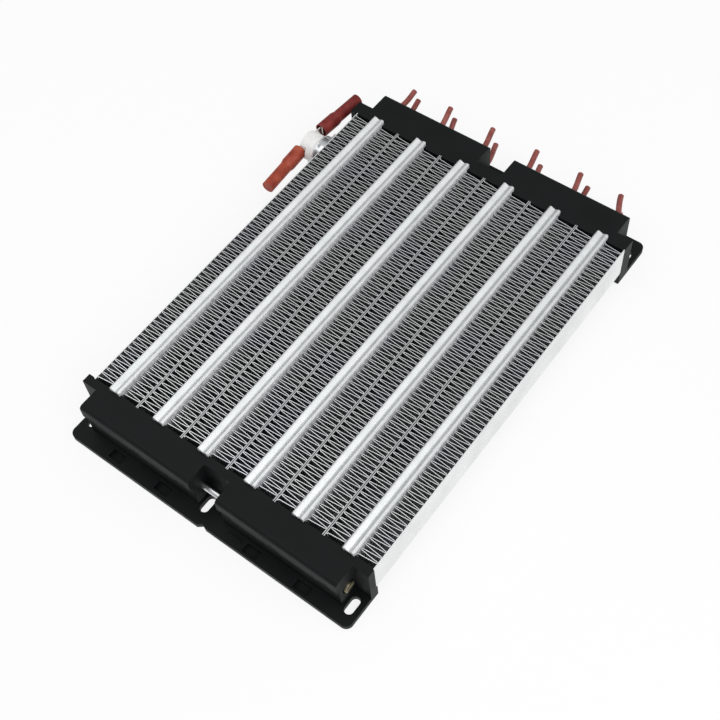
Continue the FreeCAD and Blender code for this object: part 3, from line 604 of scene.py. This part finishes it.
def strand_mesh(line, vertices, faces):
    """Twisted strands round a straight one, which show in a lead's cut end."""
    end = directions(line)[-1]
    start = line[-1] - end * STRAND_LENGTH
    for strand in range(STRAND_COUNT + 1):
        out = STRAND_SPACING * STRAND_RADIUS if strand < STRAND_COUNT else 0.0
        rings = []
        for step in range(STRAND_STEPS + 1):
            share = step / STRAND_STEPS
            turn = 2 * math.pi * strand / STRAND_COUNT + STRAND_TWIST * share
            middle = start + end * (STRAND_LENGTH * share) + off_line(end, out, turn)
            rings.append(ring(middle, end, STRAND_RADIUS, STRAND_SIDES))
        skin(rings, vertices, faces)


def make_leads(materials):
    """The sleeving of each row of leads, and the strands of all of them as one piece."""
    strands = ([], [])
    for name, leads in LEAD_ROWS.items():
        vertices = []
        faces = []
        for index in range(TUBE_COUNT):
            line = lead_line(leads, index)
            sleeve_mesh(line, vertices, faces)
            strand_mesh(line, *strands)
        piece = add_mesh(name + "_sleeving", vertices, faces, materials["lead_silicone"], smooth=True)
        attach(piece, "root")
        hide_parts(name + "_sleeves")
    piece = add_mesh("lead_strands", *strands, materials["copper"], smooth=True)
    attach(piece, "root")
    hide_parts("lead_conductors")


def seen_share(tree, level):
    """The level where the camera, a gloss or a see-through surface sees this one, 0 for other light."""
    path = add_node(tree, "ShaderNodeLightPath")
    seen = path.outputs["Is Camera Ray"]
    for ray in ("Is Glossy Ray", "Is Transmission Ray"):
        either = add_node(tree, "ShaderNodeMath", operation="MAXIMUM")
        tree.links.new(seen, either.inputs[0])
        tree.links.new(path.outputs[ray], either.inputs[1])
        seen = either.outputs[0]
    share = add_node(tree, "ShaderNodeMath", operation="MULTIPLY")
    share.inputs[1].default_value = level
    tree.links.new(seen, share.inputs[0])
    return share.outputs[0]


def floor_material():
    """A pale matt floor that glows nearly white where it is seen."""
    material = bpy.data.materials.new("floor")
    tree = new_tree(material)
    output = add_node(tree, "ShaderNodeOutputMaterial")
    matt = add_node(tree, "ShaderNodeBsdfDiffuse")
    matt.inputs["Color"].default_value = FLOOR_COLOUR
    glow = add_node(tree, "ShaderNodeEmission")
    mix = add_node(tree, "ShaderNodeMixShader")
    tree.links.new(seen_share(tree, FLOOR_GLOW), mix.inputs["Fac"])
    tree.links.new(matt.outputs["BSDF"], mix.inputs[1])
    tree.links.new(glow.outputs["Emission"], mix.inputs[2])
    tree.links.new(mix.outputs["Shader"], output.inputs["Surface"])
    return material


def make_floor():
    """A round pale floor with a low backdrop at its rim."""
    turns = [2 * math.pi * k / FLOOR_SIDES for k in range(FLOOR_SIDES)]
    rim = [(FLOOR_RADIUS * math.cos(a), FLOOR_RADIUS * math.sin(a)) for a in turns]
    vertices = [(x, y, 0.0) for x, y in rim] + [(x, y, BACKDROP_HEIGHT) for x, y in rim]
    faces = [list(range(FLOOR_SIDES))]
    for k in range(FLOOR_SIDES):
        after = (k + 1) % FLOOR_SIDES
        faces.append((k, after, after + FLOOR_SIDES, k + FLOOR_SIDES))
    floor = add_mesh("floor", vertices, faces, floor_material())


def make_world():
    """A soft sky, brighter towards one side."""
    world = bpy.data.worlds.new("world")
    bpy.context.scene.world = world
    tree = new_tree(world)
    output = add_node(tree, "ShaderNodeOutputWorld")
    sky = add_node(tree, "ShaderNodeBackground")
    place = add_node(tree, "ShaderNodeTexCoord")
    side = add_node(tree, "ShaderNodeVectorMath", operation="DOT_PRODUCT")
    side.inputs[1].default_value = SKY_SIDE
    tree.links.new(place.outputs["Generated"], side.inputs[0])
    tree.links.new(spread(tree, side.outputs["Value"], SKY_LEVELS, span=SKY_RANGE), sky.inputs["Strength"])
    tree.links.new(sky.outputs["Background"], output.inputs["Surface"])


def make_lamps():
    """Square soft lamps, all at one distance, placed by where they shine from."""
    for lamp in LAMPS:
        turn = math.radians(lamp.azimuth)
        rise = math.radians(lamp.elevation)
        away = Vector((math.sin(turn) * math.cos(rise), -math.cos(turn) * math.cos(rise), math.sin(rise)))
        data = bpy.data.lights.new(lamp.name, "AREA")
        data.energy = lamp.power
        data.size = lamp.size
        place = Matrix.Translation(Vector(LAMP_AIM) + away * LAMP_DISTANCE)
        light = bpy.data.objects.new(lamp.name, data)
        light.matrix_world = place @ (-away).to_track_quat("-Z", "Y").to_matrix().to_4x4()
        bpy.context.scene.collection.objects.link(light)


def make_camera():
    """The camera, from its place and its three angles."""
    azimuth = math.radians(CAMERA_AZIMUTH)
    elevation = math.radians(CAMERA_ELEVATION)
    forward = Vector((-math.sin(azimuth) * math.cos(elevation),
                      math.cos(azimuth) * math.cos(elevation),
                      -math.sin(elevation)))
    level = forward.to_track_quat("-Z", "Y").to_matrix()
    roll = Matrix.Rotation(math.radians(CAMERA_ROLL), 3, "Z")
    data = bpy.data.cameras.new("camera")
    data.sensor_width = CAMERA_SENSOR
    data.lens = CAMERA_LENS
    data.clip_start, data.clip_end = CAMERA_CLIP
    camera = bpy.data.objects.new("camera", data)
    camera.matrix_world = Matrix.Translation(CAMERA_PLACE) @ (level @ roll).to_4x4()
    bpy.context.scene.collection.objects.link(camera)
    bpy.context.scene.camera = camera


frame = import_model()
bpy.context.scene.view_settings.view_transform = "Standard"
materials = make_materials()
dress_nodes(frame, materials)
make_fins(materials)
make_leads(materials)
make_floor()
make_world()
make_lamps()
make_camera()
